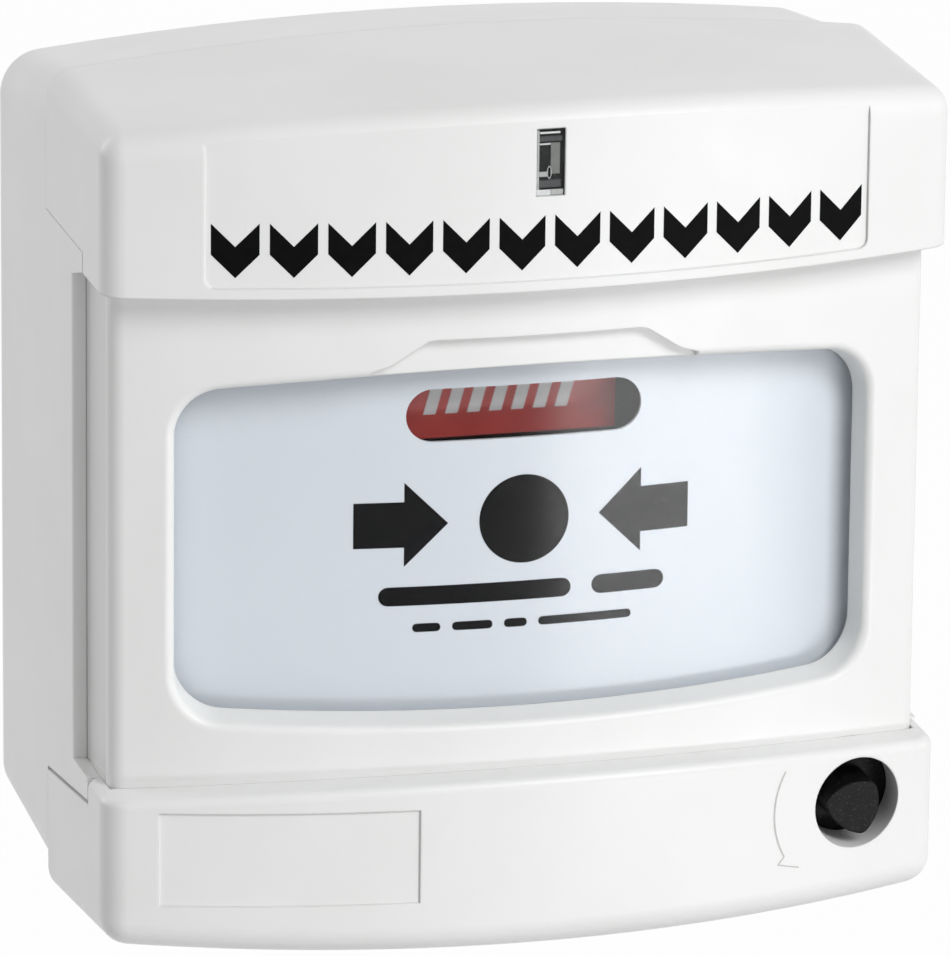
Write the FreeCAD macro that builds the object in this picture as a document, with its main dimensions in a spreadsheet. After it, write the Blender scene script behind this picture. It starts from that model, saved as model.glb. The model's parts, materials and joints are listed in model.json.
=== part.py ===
import FreeCAD, Part
import math
import os
import re
import Sketcher

# Wall-mounted call point with a push plate, a red indicator flag and a key reset.
# Millimetres. X runs to the right, Y into the wall and Z up. The wall face lies at Y = 0
# and the middle of the push plate at X = 0, Z = 0. A depth is a distance from the wall.
# A size written as text is worked out from sizes that stand before it.

SIZES = {
    # Housing as a whole
    "width": 88, "depth": 55.6, "bow_radius": 136, "crown_radius": 360, "keel_radius": 515,
    "shell": 2, "skirt": 1.4, "seam_depth": 22,
    "half": "width / 2",
    # Clearances, and how far a cutting tool runs past what it cuts
    "fit_gap": 0.2, "run_gap": 0.3, "slip": 0.08, "press_fit": 0.02, "pilot_gap": 0.05, "overrun": 1,
    # Top hood
    "hood_top": 45.6, "hood_foot": 26.4, "skirt_rise": 2.2, "hood_tab": 16.6, "hood_cheek": 3,
    "hood_round": 3, "panel_border": 9.6, "panel_rise": 1.1, "panel_recess": 0.3, "panel_corner": 1,
    "skirt_foot": "hood_foot + skirt_rise", "hood_tab_depth": "depth - hood_tab",
    "panel_half": "half - panel_border", "panel_foot": "hood_foot + panel_rise",
    # Lower cap
    "cap_head": 24.85, "lip_crown": 608, "cap_bottom_rear": 46.9, "cap_bottom_front": 42.9,
    "cap_cheek": 3.2, "cap_round": 3, "cap_ledge": 1.6, "cap_lip_round": 1, "cap_tab": 14.6,
    "cap_step": 4.35, "cap_fall": 2.6, "field_border": 5.3, "field_wide": 26, "field_drop": 2.75,
    "field_tall": 9.9, "field_recess": 0.25,
    "cap_end": "cap_head + lip_crown - sqrt(lip_crown ^ 2 - half ^ 2)",
    "cap_tab_depth": "depth - cap_tab", "cap_skirt": "cap_head + cap_step",
    "field_left": "half - field_border", "field_head": "cap_head + field_drop",
    # Back box
    "seam_lip": 0.7, "top_taper": 3.1, "foot_lip": 1.5, "foot_taper": 1.4, "back_wall": 2.5,
    "box_corner": 4.5, "ear_reach": 12.3, "ear_gap": 0.4, "ear_round": 0.6, "notch_fall": 1.3,
    "cable_radius": 10, "cable_height": 14, "fixing_spacing": 60, "fixing_radius": 2.2,
    "seam_top": "hood_top - seam_lip", "wall_top": "seam_top - top_taper",
    "seam_bottom": "cap_bottom_rear - foot_lip", "wall_bottom": "seam_bottom - foot_taper",
    "ear_depth": "seam_depth + ear_reach",
    # Front bezel and its window
    "set_back": 3.8, "bezel_lap": 3.6, "bezel_tuck": 0.7, "bezel_round": 2, "brow": 8.8,
    "sill": 4.75, "window_border": 5.18, "window_crown": 670, "window_corner": 5, "window_deep": 12.8,
    "window_draft": 2.6, "window_round": 0.9, "rim_wall": 1.5, "scoop_rise": 3.1, "scoop_half": 11.2,
    "scoop_flare": 3.8, "scoop_toe": 2, "toe_rise": 0.6, "scoop_depth": 1.2, "scoop_round": 2.5,
    "flange": 1.8, "channel_deep": 1.3,
    "pip_radius": 0.8, "pip_back": 14.4, "pip_high": 21.9, "pip_middle": 0.9, "pip_low": -11.9,
    "release_long": 1.8, "release_tall": 1.1,
    "bezel_half": "half - skirt - press_fit", "bezel_crest": "depth - set_back",
    "bezel_bow": "bow_radius - set_back", "bezel_head": "hood_foot + bezel_lap",
    "bezel_foot": "cap_skirt + cap_fall + bezel_tuck", "window_half": "bezel_half - window_border",
    "window_head": "hood_foot - brow", "window_foot": "cap_head - sill",
    "window_rear": "bezel_crest - window_deep", "pip_depth": "depth - pip_back",
    "flange_depth": "bezel_crest - bezel_bow + sqrt(bezel_bow ^ 2 - bezel_half ^ 2) - flange",
    "channel_half": "bezel_half - channel_deep",
    # Indicator light
    "pipe_half": 1.4, "pipe_drop": 2.6, "pipe_tall": 6.8, "pipe_recess": 0.3, "stem_tall": 3.2,
    "pipe_flange": 1.2, "flange_thick": 1.4, "lamp_radius": 1.5, "lamp_gap": 1.4,
    "pipe_head": "hood_top - pipe_drop", "pipe_foot": "pipe_head - pipe_tall",
    "pipe_seat": "depth - shell - fit_gap",
    # Chassis and its screws
    "chassis_lift": 2, "chassis_plate": 2.5, "chassis_border": 2.9, "screw_radius": 1.5,
    "screw_head": 2.6, "head_tall": 1.8, "screw_bite": 8, "post_wall": 1.5, "post_border": 6,
    "post_height": 14, "post_spread": 22, "post_rise": 4,
    "chassis_depth": "seam_depth + chassis_lift", "chassis_face": "chassis_depth + chassis_plate",
    "chassis_head": "hood_top - shell - run_gap", "chassis_foot": "cap_bottom_front - chassis_border",
    "post_radius": "screw_radius + post_wall", "post_side": "half - post_border",
    "post_drop": "chassis_foot - post_rise",
    # Circuit board and terminals
    "board": 1.6, "board_half": 30, "board_foot": 22, "board_bite": 5.5, "pillar_tall": 5.4,
    "pillar_wall": 1.1, "pillar_border": 4, "poles": 6, "pole_pitch": 5, "terminal_rise": 2,
    "terminal_high": 9, "terminal_tall": 8, "well_radius": 1.7, "well_deep": 2, "clamp_tall": 3,
    "mouth_radius": 1.5, "mouth_deep": 4, "mouth_lift": 2.4,
    "board_depth": "chassis_depth - pillar_tall - board", "board_head": "pipe_foot + stem_tall",
    "pillar_radius": "screw_radius + pillar_wall", "pillar_side": "board_half - pillar_border",
    "pillar_high": "board_head - pillar_border", "pillar_low": "pillar_border - board_foot",
    "terminal_foot": "terminal_rise - board_foot", "terminal_rear": "board_depth - terminal_tall",
    "terminal_half": "pole_pitch * poles / 2", "terminal_middle": "terminal_foot + terminal_high / 2",
    # Push plate, film and carrier
    "plate_back": 7.6, "plate_radius": 128, "plate": 1.2, "film_gap": 0.1, "film": 0.4, "carrier": 1.8,
    "plate_margin": 0.3, "press": 2.5, "sight_half": 12.3, "sight_drop": 6.2, "sight_radius": 2.8,
    "bay_gap": 1.5,
    "plate_depth": "depth - plate_back", "film_inset": "plate + film_gap",
    "carrier_inset": "film_inset + film", "carrier_depth": "plate_depth - carrier_inset - carrier",
    "sight_height": "window_head - sight_drop", "bay_half": "sight_half + bay_gap",
    # Flag and slide
    "flag": 0.8, "flag_short": 1.3, "flag_hem": 1.2, "flag_room": 2.8, "rivet_radius": 1.5,
    "rivet_inset": 3, "rivet_tall": 4.6, "slide_thick": 2.4, "arm_half": 2, "bar_lift": 0.8,
    "bar_tall": 4, "guide_foot": -6, "guide_head": 2, "guide_cheek": 1.6, "spring_room": 12,
    "shelf": 2, "flag_coil": 1.5, "flag_wire": 0.25, "flag_turns": 4,
    "flag_half": "sight_half - flag_short", "flag_foot": "sight_height - sight_radius - flag_hem",
    "flag_face": "plate_depth - carrier_inset - press - flag_room",
    "slide_front": "flag_face - flag - rivet_tall", "slide_depth": "slide_front - slide_thick",
    "slide_middle": "slide_depth + slide_thick / 2", "rivet_side": "flag_half - rivet_inset",
    "bar_foot": "sight_height + sight_radius + bar_lift", "bar_head": "bar_foot + bar_tall",
    "shelf_foot": "bar_head + spring_room",
    # Key, cam and clip
    "key_border": 9.3, "key_below": 6.9, "keyhole_radius": 4.85, "barrel_lap": 0.75,
    "barrel_sink": 3.9, "post_sink": 0.7, "journal_radius": 3, "journal_tail": 2.2,
    "lobe_radius": 3.2, "lobe_arc": 4.6, "lobe_round": 0.9, "lobe_turn": 48, "lobe_drop": 0.65,
    "cam_wall": 1.6, "cam_sweep": 90, "cam_dwell": 12, "cam_flank": 40, "cam_lap": 0.8, "cam_gap": 0.6,
    "clip_wall": 1.8, "clip_thick": 1, "clip_mouth": 1.8, "nose_radius": 0.8, "nose_half": 0.6,
    "nose_gap": 0.45, "nose_tall": 4,
    "key_side": "half - key_border", "key_drop": "cap_head + key_below",
    "key_bow": "bow_radius - sqrt(bow_radius ^ 2 - key_side ^ 2)",
    "post_face": "depth - key_bow - post_sink", "barrel_face": "depth - key_bow - shell - barrel_sink",
    "barrel_radius": "keyhole_radius + barrel_lap", "cam_depth": "slide_depth - cam_lap",
    "cam_thick": "slide_thick + cam_lap * 2", "barrel_seat": "cam_depth + cam_thick + cam_gap",
    "cam_low": "journal_radius + cam_wall", "cam_lift": "sight_radius * 2 + flag_hem + fit_gap",
    "clip_radius": "journal_radius + clip_wall", "clip_front": "chassis_depth - fit_gap",
    "journal_end": "clip_front - clip_thick - journal_tail",
    "nose_foot": "cam_low + nose_gap + nose_radius - sqrt(nose_radius ^ 2 - nose_half ^ 2) - key_drop",
    # Guide pegs, springs and switches
    "peg_inset": 9.7, "peg_drop": 5, "peg_radius": 1.6, "peg_tail": 1, "wire_radius": 0.35,
    "plate_turns": 4, "switch_side": 10, "switch_drop": 8, "switch_wide": 6.4, "switch_long": 19.8,
    "plunger_radius": 1.2, "plunger_in": 2, "plunger_spare": 0.1, "pad_radius": 2.4, "pad_tall": 4.9,
    "peg_side": "key_side - peg_inset", "coil_radius": "peg_radius + run_gap + wire_radius * 2",
    "plunger_tip": "carrier_depth - pad_tall - fit_gap",
    "switch_face": "plunger_tip - press - plunger_spare",
}

doc = FreeCAD.newDocument("call_point")
sheet = doc.addObject("Spreadsheet::Sheet", "Sizes")
for row, (alias, size) in enumerate(SIZES.items(), start=1):
    sheet.set("A%d" % row, alias)
    sheet.set("B%d" % row, "=" + size if isinstance(size, str) else str(size))
    sheet.setAlias("B%d" % row, alias)
doc.recompute()

FRONT_PLANE = FreeCAD.Rotation(FreeCAD.Vector(1, 0, 0), 90)
SIDE_PLANE = FreeCAD.Rotation(
    FreeCAD.Vector(0, -1, 0), FreeCAD.Vector(0, 0, 1), FreeCAD.Vector(-1, 0, 0), "XYZ")
LEVEL_PLANE = FreeCAD.Rotation()
FAR = "(width * 2)"

# Places that several pieces share, as pairs of X and Z
CHASSIS_POSTS = [
    ("-post_side", "post_height"), ("post_side", "post_height"),
    ("-post_spread", "-post_drop"), ("post_spread", "-post_drop")]
BOARD_PILLARS = [(x, z) for x in ("-pillar_side", "pillar_side") for z in ("pillar_high", "pillar_low")]
SIDES = [("left", "-"), ("right", "")]
PEGS = [("-peg_side", "-peg_drop"), ("peg_side", "-peg_drop")]
SWITCHES = [("-switch_side", "-switch_drop"), ("switch_side", "-switch_drop")]
KEY_AXIS = ("key_side", "-key_drop")

parts = {}


# Building blocks

def bound(text):
    """The expression with every size's name pointed at its cell."""
    def cell(word):
        return "Sizes." + word.group() if word.group() in SIZES else word.group()
    return re.sub(r"[a-z_]+", cell, str(text))


def value(text):
    """The expression's present value."""
    return float(sheet.evalExpression(bound(text)))


def place(piece, x, y, z, turn=LEVEL_PLANE):
    """Puts a piece at an expression-bound place."""
    piece.Placement = FreeCAD.Placement(FreeCAD.Vector(), turn)
    for axis, text in (("x", x), ("y", y), ("z", z)):
        piece.setExpression("Placement.Base." + axis, bound(text))
    return piece


def keep(node, piece):
    """Names a finished sub-part."""
    piece.Label = node
    parts[node] = piece


def box(name, left, right, rear, fore, foot, head):
    """A block between two sides, two depths and two heights."""
    piece = doc.addObject("Part::Box", name)
    piece.setExpression("Length", bound("(%s) - (%s)" % (right, left)))
    piece.setExpression("Width", bound("(%s) - (%s)" % (fore, rear)))
    piece.setExpression("Height", bound("(%s) - (%s)" % (head, foot)))
    return place(piece, left, "-(%s)" % fore, foot)


def rod(name, centre, radius, rear, fore):
    """A cylinder along the depth, about a pair of X and Z."""
    piece = doc.addObject("Part::Cylinder", name)
    piece.setExpression("Radius", bound(radius))
    piece.setExpression("Height", bound("(%s) - (%s)" % (fore, rear)))
    return place(piece, centre[0], "-(%s)" % rear, centre[1], FRONT_PLANE)


def rods(name, centres, radius, rear, fore):
    """The same rod at each of several places."""
    return [rod("%s_%d" % (name, number), centre, radius, rear, fore)
            for number, centre in enumerate(centres)]


def ball(name, radius, x, y, z):
    """A sphere."""
    piece = doc.addObject("Part::Sphere", name)
    piece.setExpression("Radius", bound(radius))
    return place(piece, x, y, z)


def drum(name, crest, radius):
    """An upright cylinder whose face is a bowed front with its crest at the given depth."""
    piece = doc.addObject("Part::Cylinder", name)
    piece.setExpression("Radius", bound(radius))
    piece.setExpression("Height", bound(FAR))
    return place(piece, "0", "(%s) - (%s)" % (radius, crest), "-%s / 2" % FAR)


def sketch(name, points, plane, x="0", y="0", z="0"):
    """A closed outline, anticlockwise. A point may carry the radius of the arc that leaves it,
    which bulges outwards."""
    piece = doc.addObject("Sketcher::SketchObject", name)
    place(piece, x, y, z, plane)
    ends = [FreeCAD.Vector(value(point[0]), value(point[1]), 0) for point in points]
    for index, point in enumerate(points):
        start, end = ends[index], ends[(index + 1) % len(ends)]
        if len(point) == 2:
            piece.addGeometry(Part.LineSegment(start, end))
            continue
        chord = end - start
        radius = value(point[2])
        sagitta = radius - math.sqrt(radius ** 2 - chord.Length ** 2 / 4)
        outward = FreeCAD.Vector(chord.y, -chord.x, 0).normalize()
        piece.addGeometry(Part.ArcOfCircle(start, (start + end) / 2 + outward * sagitta, end))
    for index, point in enumerate(points):
        following = (index + 1) % len(points)
        piece.addConstraint(Sketcher.Constraint("Coincident", index, 2, following, 1))
    for index, point in enumerate(points):
        for kind, text in (("DistanceX", point[0]), ("DistanceY", point[1])):
            number = piece.addConstraint(Sketcher.Constraint(kind, index, 1, value(text)))
            piece.setExpression("Constraints[%d]" % number, bound(text))
        if len(point) == 3:
            number = piece.addConstraint(Sketcher.Constraint("Radius", index, value(point[2])))
            piece.setExpression("Constraints[%d]" % number, bound(point[2]))
    return piece


def prism(name, outline, length, both_ways=False):
    """An outline drawn out square to its plane."""
    piece = doc.addObject("Part::Extrusion", name)
    piece.Base = outline
    piece.DirMode = "Normal"
    piece.Solid = True
    piece.Symmetric = both_ways
    piece.setExpression("LengthFwd", bound(length))
    return piece


def loft(name, first, last):
    """A straight-sided body between two outlines."""
    piece = doc.addObject("Part::Loft", name)
    piece.Sections = [first, last]
    piece.Solid = True
    piece.Ruled = True
    return piece


def join(name, *pieces):
    """Several solids made one."""
    piece = doc.addObject("Part::MultiFuse", name)
    piece.Shapes = list(pieces)
    return piece


def meet(name, *pieces):
    """What several solids have in common."""
    piece = doc.addObject("Part::MultiCommon", name)
    piece.Shapes = list(pieces)
    return piece


def cut(name, base, *tools):
    """A solid less one or more others."""
    piece = doc.addObject("Part::Cut", name)
    piece.Base = base
    piece.Tool = tools[0] if len(tools) == 1 else join(name + "_tools", *tools)
    return piece


def group(name, pieces):
    """Like solids kept together in one node."""
    piece = doc.addObject("Part::Compound", name)
    piece.Links = pieces
    return piece


def rounded(name, base, radius, chosen):
    """A solid with the edges rounded whose bounds are chosen."""
    doc.recompute()
    size = value(radius)
    edges = enumerate(base.Shape.Edges, start=1)
    piece = doc.addObject("Part::Fillet", name)
    piece.Base = base
    piece.Edges = [(number, size, size) for number, edge in edges if chosen(edge.BoundBox)]
    return piece


def runs_back(bounds):
    """True for an edge that runs front to back."""
    return bounds.YLength > max(bounds.XLength, bounds.ZLength)


def stands(bounds):
    """True for an edge that runs up and down, in front of the seam."""
    upright = bounds.ZLength > max(bounds.XLength, bounds.YLength)
    return upright and bounds.YMax < -value("seam_depth + shell")


def ends_fore(bounds):
    """True for an edge whose front end lies in front of the seam."""
    return bounds.YMin < -value("seam_depth + shell")


def sag(radius, reach):
    """How far an arc falls away from its crest at a given reach."""
    return "((%s) - sqrt((%s) ^ 2 - (%s) ^ 2))" % (radius, radius, reach)


def housing_outline(name, depth, half, head, foot, crown=None, keel=None):
    """Front view of a housing piece: straight sides, with an arched top or bottom where asked."""
    top = "(%s) - %s" % (head, sag(crown, half)) if crown else head
    bottom = "(%s) + %s" % (foot, sag(keel, half)) if keel else foot
    lower_left = ("-(%s)" % half, bottom, keel) if keel else ("-(%s)" % half, bottom)
    upper_right = (half, top, crown) if crown else (half, top)
    points = [lower_left, (half, bottom), upper_right, ("-(%s)" % half, top)]
    return sketch(name, points, FRONT_PLANE, y="-(%s)" % depth)


# Back box

def box_form(name, side, inset, rear, fore):
    """The tapered tray, drawn in by the given insets, between two depths."""
    def level(wall, seam, depth):
        return "(%s + (%s - %s) * (%s) / seam_depth - (%s))" % (wall, seam, wall, depth, inset)
    outlines = [
        housing_outline(
            name + mark, depth, "half - (%s)" % side,
            level("wall_top", "seam_top", depth), "-" + level("wall_bottom", "seam_bottom", depth),
            "(crown_radius - (%s))" % inset, "(keel_radius - (%s))" % inset)
        for mark, depth in (("_rear", rear), ("_fore", fore))]
    return loft(name, *outlines)


def box_ears():
    """The side walls in front of the seam, which fill the space between the skirts of the hood and
    the cap. A long notch shows the bezel's side."""
    fall = "cap_fall * (cap_tab_depth - seam_depth) / (cap_tab_depth - seam_depth + overrun)"
    points = [
        ("seam_depth", "ear_gap - cap_skirt - " + fall),
        ("cap_tab_depth - fit_gap", "ear_gap - cap_skirt"),
        ("cap_tab_depth - fit_gap", "-cap_end"), ("ear_depth", "-cap_end"),
        ("ear_depth", "hood_foot - notch_fall"), ("hood_tab_depth - fit_gap", "hood_foot"),
        ("hood_tab_depth - fit_gap", "skirt_foot - slip"), ("seam_depth", "skirt_foot - slip")]
    side = prism("ear_side", sketch("ear_outline", points, SIDE_PLANE), FAR, True)
    walls = [box("ear_wall_" + mark, left, right, "seam_depth", "depth", "-width", "width")
             for mark, left, right in (
                 ("left", "-half", "skirt - half"), ("right", "half - skirt", "half"))]
    pair = meet("ear_pair", join("ear_walls", *walls), side)
    return rounded("box_ears", pair, "ear_round",
                   lambda bounds: stands(bounds) and bounds.ZLength > value("half")
                   and abs(bounds.XMin) > value("half - slip"))


def back_box():
    form = box_form("box_form", "0", "0", "0", "seam_depth")
    outside = rounded("box_outside", form, "box_corner", runs_back)
    inside = box_form("box_inside", "skirt", "shell", "back_wall", "seam_depth + fit_gap")
    tray = cut("box_tray", outside, inside)
    posts = rods("box_post", CHASSIS_POSTS, "post_radius", "back_wall", "chassis_depth")
    pilots = rods("box_pilot", CHASSIS_POSTS, "screw_radius + pilot_gap",
                  "chassis_face - screw_bite - head_tall", "chassis_depth + overrun")
    fixings = [("-fixing_spacing / 2", "0"), ("fixing_spacing / 2", "0")]
    holes = rods("box_fixing", fixings, "fixing_radius", "-overrun", "back_wall + overrun")
    entry = rod("box_cable_entry", ("0", "cable_height"), "cable_radius", "-overrun", "back_wall + overrun")
    solid = join("box_solid", tray, box_ears(), *posts)
    keep("back_box", cut("back_box", solid, entry, *holes, *pilots))


# Top hood

def label_panel():
    """A shallow recess that runs up into the rounded top edge, where it fades out."""
    plate = box("panel_plate", "-panel_half", "panel_half", "hood_tab_depth", "depth + overrun",
                "panel_foot", "hood_top + overrun")
    cornered = rounded("panel_cornered", plate, "panel_corner",
                       lambda bounds: runs_back(bounds) and bounds.ZMax < value("panel_foot + overrun"))
    floor = drum("panel_floor", "depth - panel_recess", "bow_radius - panel_recess")
    return cut("label_panel", cornered, floor)


def top_hood():
    front = housing_outline("hood_front", "seam_depth", "half", "hood_top", "hood_foot", "crown_radius")
    block = prism("hood_block", front, "depth")
    bowed = meet("hood_bowed", block, drum("hood_bow", "depth", "bow_radius"))
    cheeked = rounded("hood_cheeked", bowed, "hood_cheek", stands)
    outside = rounded("hood_outside", cheeked, "hood_round",
                      lambda bounds: ends_fore(bounds) and bounds.ZMin > value("skirt_foot"))
    room = housing_outline("hood_room_front", "seam_depth - overrun", "half - skirt", "hood_top - shell",
                           "hood_foot + shell", "crown_radius - shell")
    inside = meet("hood_inside", prism("hood_room", room, "depth"),
                  drum("hood_inner_bow", "depth - shell", "bow_radius - shell"))
    mouth = box("hood_mouth", "skirt - half", "half - skirt", "seam_depth - overrun", "depth",
                "hood_foot - overrun", "hood_foot + shell + overrun")
    throat_bow = drum("hood_throat_bow", "bezel_crest + press_fit", "bezel_bow + press_fit")
    throat = meet("hood_throat", mouth, throat_bow)
    step = box("hood_step", "-width", "width", "seam_depth - overrun", "hood_tab_depth",
               "hood_foot - overrun", "skirt_foot")
    slot = box("hood_slot", "-pipe_half - slip", "pipe_half + slip", "depth - shell * 2", "depth + overrun",
               "pipe_foot - slip", "pipe_head + slip")
    keep("top_hood", cut("top_hood", outside, inside, throat, step, slot, label_panel()))


# Front bezel

def window_outline(name, depth, inset):
    """Front view of the window, drawn in by the inset: arched top, straight bottom."""
    return housing_outline(name, depth, "(window_half - (%s))" % inset, "window_head - (%s)" % inset,
                           "(%s) - window_foot" % inset, "window_crown")


def bezel_channel(mark, sign):
    """A hollow down one side of the bezel as far as the cap, deepest behind the front flange."""
    edge, floor = sign + "bezel_half", sign + "channel_half"
    points = [(edge, "fit_gap - ear_depth"), (floor, "-flange_depth"), (edge + " * 2", "-flange_depth"),
              (edge + " * 2", "fit_gap - ear_depth")]
    if sign == "-":
        points.reverse()
    outline = sketch("channel_outline_" + mark, points, LEVEL_PLANE, z="-cap_end")
    return prism("bezel_channel_" + mark, outline, FAR)


def bezel_skin():
    """The bowed front with its two side walls."""
    block = box("bezel_box", "-bezel_half", "bezel_half", "chassis_face", "depth",
                "-bezel_foot", "bezel_head")
    bowed = meet("bezel_bowed", block, drum("bezel_front", "bezel_crest", "bezel_bow"))
    outside = rounded("bezel_outside", bowed, "bezel_round",
                      lambda bounds: stands(bounds) and bounds.YMax < -value("chassis_face + shell"))
    rooms = [box("bezel_room_" + mark, "skirt - " + wall, wall + " - skirt", "seam_depth", front,
                 "-bezel_foot - overrun", "bezel_head + overrun")
             for mark, wall, front in (
                 ("rear", "bezel_half", "barrel_seat"), ("fore", "channel_half", "depth"))]
    inner_bow = drum("bezel_inner_bow", "bezel_crest - shell", "bezel_bow - shell")
    inside = meet("bezel_inside", join("bezel_rooms", *rooms), inner_bow)
    return cut("bezel_skin", outside, inside, *[bezel_channel(mark, sign) for mark, sign in SIDES])


def bezel_rim():
    """The wall round the window, which stops short of the push plate."""
    block = prism("rim_block", window_outline("rim_front", "chassis_depth", "-rim_wall"), "depth")
    bowed = meet("rim_bowed", block, drum("rim_bow", "bezel_crest - shell / 2", "bezel_bow - shell / 2"))
    return cut("bezel_rim", bowed, drum("rim_clear", "plate_depth + run_gap", "plate_radius + run_gap"))


def bezel_window():
    """The drafted opening, with round corners."""
    taper = loft("window_form", window_outline("window_rear_outline", "window_rear", "window_draft"),
                 window_outline("window_fore_outline", "bezel_crest", "0"))
    return rounded("bezel_window", taper, "window_corner", runs_back)


def bezel_scoop():
    """The shallow flared hollow over the window, for a fingertip."""
    toe = "scoop_half + scoop_flare + scoop_toe"
    points = [
        (toe, "0"), (toe, "window_head"), ("scoop_half + scoop_flare", "window_head + toe_rise"),
        ("scoop_half", "window_head + scoop_rise")]
    points += [("-(%s)" % x, z) for x, z in reversed(points)]
    block = prism("scoop_block", sketch("scoop_front", points, FRONT_PLANE, y="-window_rear"), "depth")
    floor = drum("scoop_floor", "bezel_crest - scoop_depth", "bezel_bow - scoop_depth")
    cornered = rounded("scoop_cornered", block, "scoop_round",
                       lambda bounds: runs_back(bounds) and bounds.ZMin > value("window_head + fit_gap"))
    return cut("bezel_scoop", cornered, floor)


def on_window_edge(bounds):
    """True for an edge where the window meets the bowed front."""
    near = 0 if bounds.XMin < 0 < bounds.XMax else min(abs(bounds.XMin), abs(bounds.XMax))
    face = value("bezel_crest - bezel_bow") + math.sqrt(value("bezel_bow") ** 2 - near ** 2)
    inside = max(abs(bounds.XMin), abs(bounds.XMax)) < value("window_half + overrun")
    level = bounds.ZMin > -value("window_foot + overrun") and bounds.ZMax < value("window_head + overrun")
    return inside and level and abs(bounds.YMin + face) < value("slip")


def front_bezel():
    pips = [ball("bezel_pip_%s_%s" % (mark, height), "pip_radius", sign + "channel_half", "-pip_depth",
                 height)
            for mark, sign in SIDES for height in ("pip_high", "pip_middle", "pip_low")]
    release = box("bezel_release", "-width", "width", "flange_depth - release_long", "flange_depth",
                  "-cap_end", "release_tall - cap_end")
    notch = rod("bezel_notch", KEY_AXIS, "barrel_radius + run_gap", "chassis_face", "depth")
    solid = join("bezel_solid", bezel_skin(), bezel_rim(), *pips)
    pierced = cut("bezel_pierced", solid, bezel_window())
    framed = rounded("bezel_framed", pierced, "window_round", on_window_edge)
    keep("front_bezel", cut("front_bezel", framed, bezel_scoop(), notch, release))


# Lower cap

def cap_form(name, side, inset, ledge):
    """The cap's tapered block, drawn in by the given insets, with an arched top edge."""
    outlines = [
        housing_outline(
            name + mark, depth, "half - (%s)" % side, "-cap_head - (%s)" % ledge,
            "(%s) - %s" % (inset, foot), "(lip_crown - (%s))" % ledge, "(keel_radius - (%s))" % inset)
        for mark, depth, foot in (
            ("_rear", "seam_depth", "cap_bottom_rear"), ("_fore", "depth + overrun", "cap_bottom_front"))]
    return loft(name, *outlines)


def label_field():
    """A shallow flat-bottomed recess at the left of the cap."""
    plate = box("field_plate", "-field_left", "field_wide - field_left", "cap_tab_depth", "depth + overrun",
                "-field_head - field_tall", "-field_head")
    floor = drum("field_floor", "depth - field_recess", "bow_radius - field_recess")
    return cut("label_field", plate, floor)


def skirt_cut():
    """What the cap's sides leave open behind their tabs, seen from the side."""
    points = [
        ("seam_depth - overrun", "-cap_skirt - cap_fall"), ("cap_tab_depth", "-cap_skirt"),
        ("cap_tab_depth", "0"), ("seam_depth - overrun", "0")]
    return prism("cap_skirt_cut", sketch("cap_skirt_side", points, SIDE_PLANE), FAR, True)


def lower_cap():
    form = cap_form("cap_form", "0", "0", "0")
    bowed = meet("cap_bowed", form, drum("cap_bow", "depth", "bow_radius"))
    cheeked = rounded("cap_cheeked", bowed, "cap_cheek", stands)
    front = rounded("cap_front", cheeked, "cap_round",
                    lambda bounds: ends_fore(bounds) and bounds.ZMax < -value("cap_skirt"))
    outside = rounded("cap_outside", front, "cap_lip_round",
                      lambda bounds: bounds.YMax < -value("cap_tab_depth")
                      and bounds.ZMin > -value("cap_skirt"))
    inside = meet("cap_inside", cap_form("cap_room", "skirt", "shell", "cap_ledge"),
                  drum("cap_inner_bow", "depth - shell", "bow_radius - shell"))
    mouth = box("cap_mouth", "skirt - half", "half - skirt", "seam_depth - overrun", "depth",
                "-cap_end - cap_ledge - overrun", "0")
    throat_bow = drum("cap_throat_bow", "bezel_crest + press_fit", "bezel_bow + press_fit")
    throat = meet("cap_throat", mouth, throat_bow)
    collar_rod = rod("collar_rod", KEY_AXIS, "barrel_radius", "barrel_face + run_gap", "depth")
    collar_bow = drum("collar_bow", "depth - shell / 2", "bow_radius - shell / 2")
    collar = meet("cap_collar", collar_rod, collar_bow)
    keyhole = rod("cap_keyhole", KEY_AXIS, "keyhole_radius", "cap_tab_depth", "depth + overrun")
    hollow = cut("cap_hollow", outside, inside, throat, skirt_cut(), label_field())
    keep("lower_cap", cut("lower_cap", join("cap_solid", hollow, collar), keyhole))


# Chassis, its screws and the board

def front_screw(name, centre):
    """A pan-head screw through the chassis into a post of the back box."""
    head = rod(name + "_head", centre, "screw_head", "chassis_face", "chassis_face + head_tall")
    shank = rod(name + "_shank", centre, "screw_radius", "chassis_face - screw_bite", "chassis_face")
    return join(name, head, shank)


def rear_screw(name, centre):
    """A pan-head screw through the board into a pillar of the chassis."""
    head = rod(name + "_head", centre, "screw_head", "board_depth - head_tall", "board_depth")
    shank = rod(name + "_shank", centre, "screw_radius", "board_depth", "board_depth + board_bite")
    return join(name, head, shank)


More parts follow.
